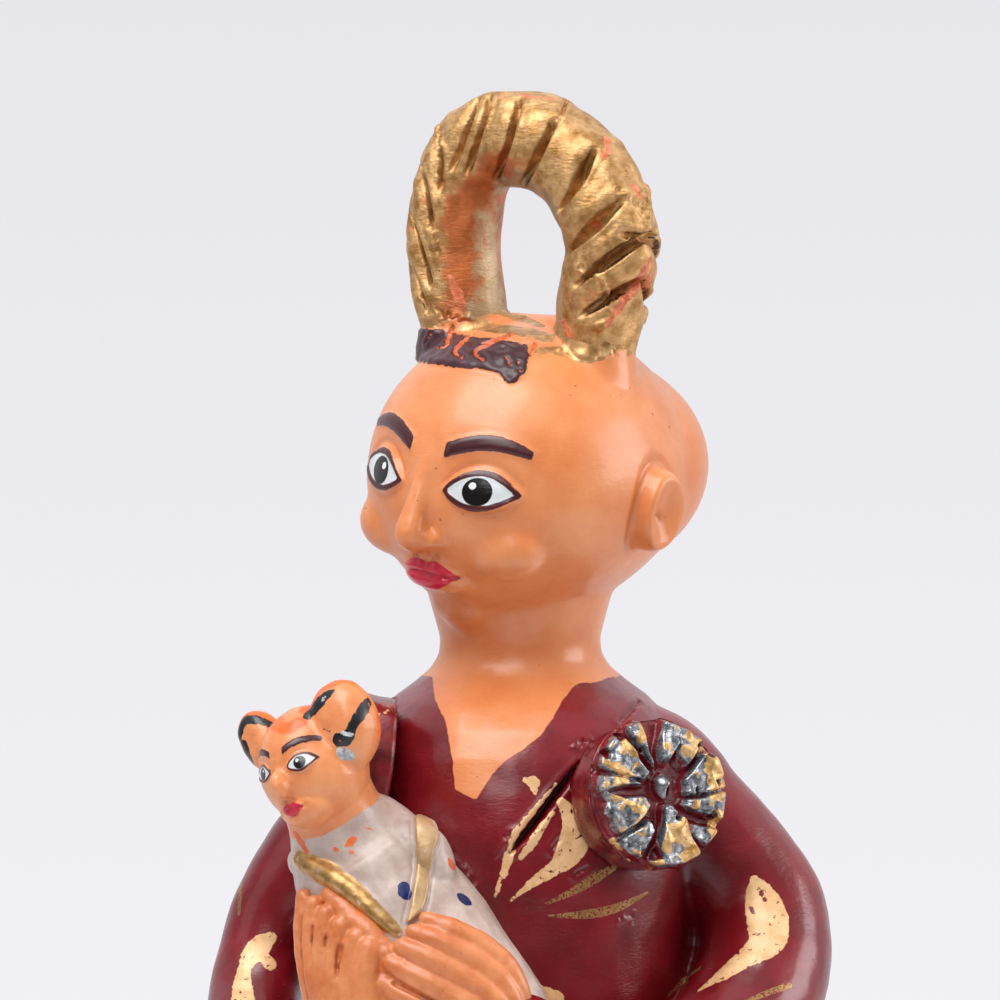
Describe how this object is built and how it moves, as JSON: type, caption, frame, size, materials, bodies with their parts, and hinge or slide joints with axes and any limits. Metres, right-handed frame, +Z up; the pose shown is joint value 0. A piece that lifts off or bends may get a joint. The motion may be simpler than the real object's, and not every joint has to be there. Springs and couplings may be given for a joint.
{
  "type": "ceramic saint statuette",
  "caption": "Painted clay statuette of a robed saint with a gilded halo arch and shoulder rosettes, holding a small child figure.",
  "frame": {"origin": "centre of the round foot's flat underside, on the axis of the thrown body", "axes": "+Z up, -Y towards the figure's front, +X towards the figure's left side"},
  "size_m": [0.1, 0.1001, 0.2902],
  "materials": {
    "maroon_paint": "varnished maroon paint on fired clay, with gold strokes",
    "skin_paint": "varnished flesh-coloured paint on fired clay",
    "gold_paint": "gold paint on fired clay, with bare clay in the knife slits",
    "white_paint": "satin white paint on fired clay, worn to the clay in spots"
  },
  "bodies": {
    "root": {"statuette": "maroon_paint"}
  },
  "joints": []
}
